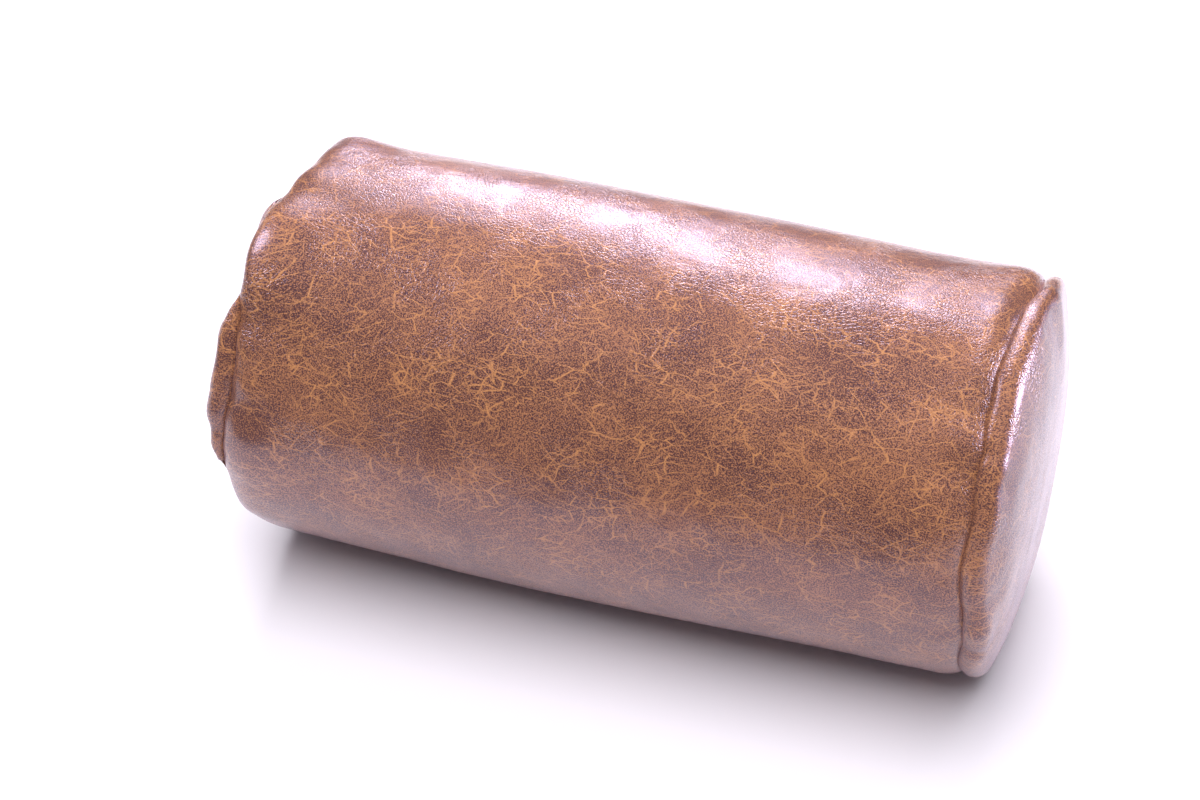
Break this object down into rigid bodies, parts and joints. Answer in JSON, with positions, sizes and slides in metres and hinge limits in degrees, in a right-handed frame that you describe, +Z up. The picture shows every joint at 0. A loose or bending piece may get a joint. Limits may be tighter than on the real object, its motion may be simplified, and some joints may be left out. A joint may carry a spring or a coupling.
{
  "type": "bolster pillow",
  "caption": "Short round massage bolster: glossy brown leatherette cover with sewn-in end discs, a zip along the back, and a firm filled core.",
  "frame": {"origin": "on the supporting surface, under the middle of the roll's settled flat", "axes": "+X along the roll, +Y to the back where the zip is, +Z up"},
  "size_m": [0.294, 0.154, 0.1515],
  "materials": {
    "leatherette": "glossy coated leatherette, brown with lighter crackle marbling",
    "sewing_thread": "twisted polyester thread, dark brown",
    "zip_tape": "woven polyester tape, dark brown",
    "zip_coil": "nylon coil, dark brown",
    "zip_metal": "antique brass plated",
    "stockinette": "thin undyed knit",
    "wadding": "lofted polyester wadding",
    "foam": "open-cell polyurethane foam"
  },
  "bodies": {
    "roll": {"cover_tube": "leatherette", "left_end_disc": "leatherette", "right_end_disc": "leatherette", "left_end_seam_thread": "sewing_thread", "right_end_seam_thread": "sewing_thread", "back_seam_thread": "sewing_thread", "zip_stitching_upper": "sewing_thread", "zip_stitching_lower": "sewing_thread", "zip_bar_tacks": "sewing_thread", "zip_tape_upper": "zip_tape", "zip_tape_lower": "zip_tape", "zip_coil_upper": "zip_coil", "zip_coil_lower": "zip_coil", "zip_top_stops": "zip_metal", "zip_bottom_stop": "zip_metal", "stockinette_sleeve": "stockinette", "wadding_wrap": "wadding", "left_wadding_disc": "wadding", "right_wadding_disc": "wadding", "foam_core": "foam"},
    "zip_slider": {"zip_slider": "zip_metal"},
    "zip_pull": {"zip_pull_tab": "zip_metal"}
  },
  "joints": [
    {"name": "zip_slide", "type": "slide", "parent": "roll", "child": "zip_slider", "axis": [-1, 0, 0], "range_m": [0, 0.205]},
    {"name": "pull_swing", "type": "hinge", "parent": "zip_slider", "child": "zip_pull", "pos_m": [0.1027, 0.07214, 0.10814], "axis": [0, 0.4226, -0.9063], "range_deg": [0, 180]}
  ]
}
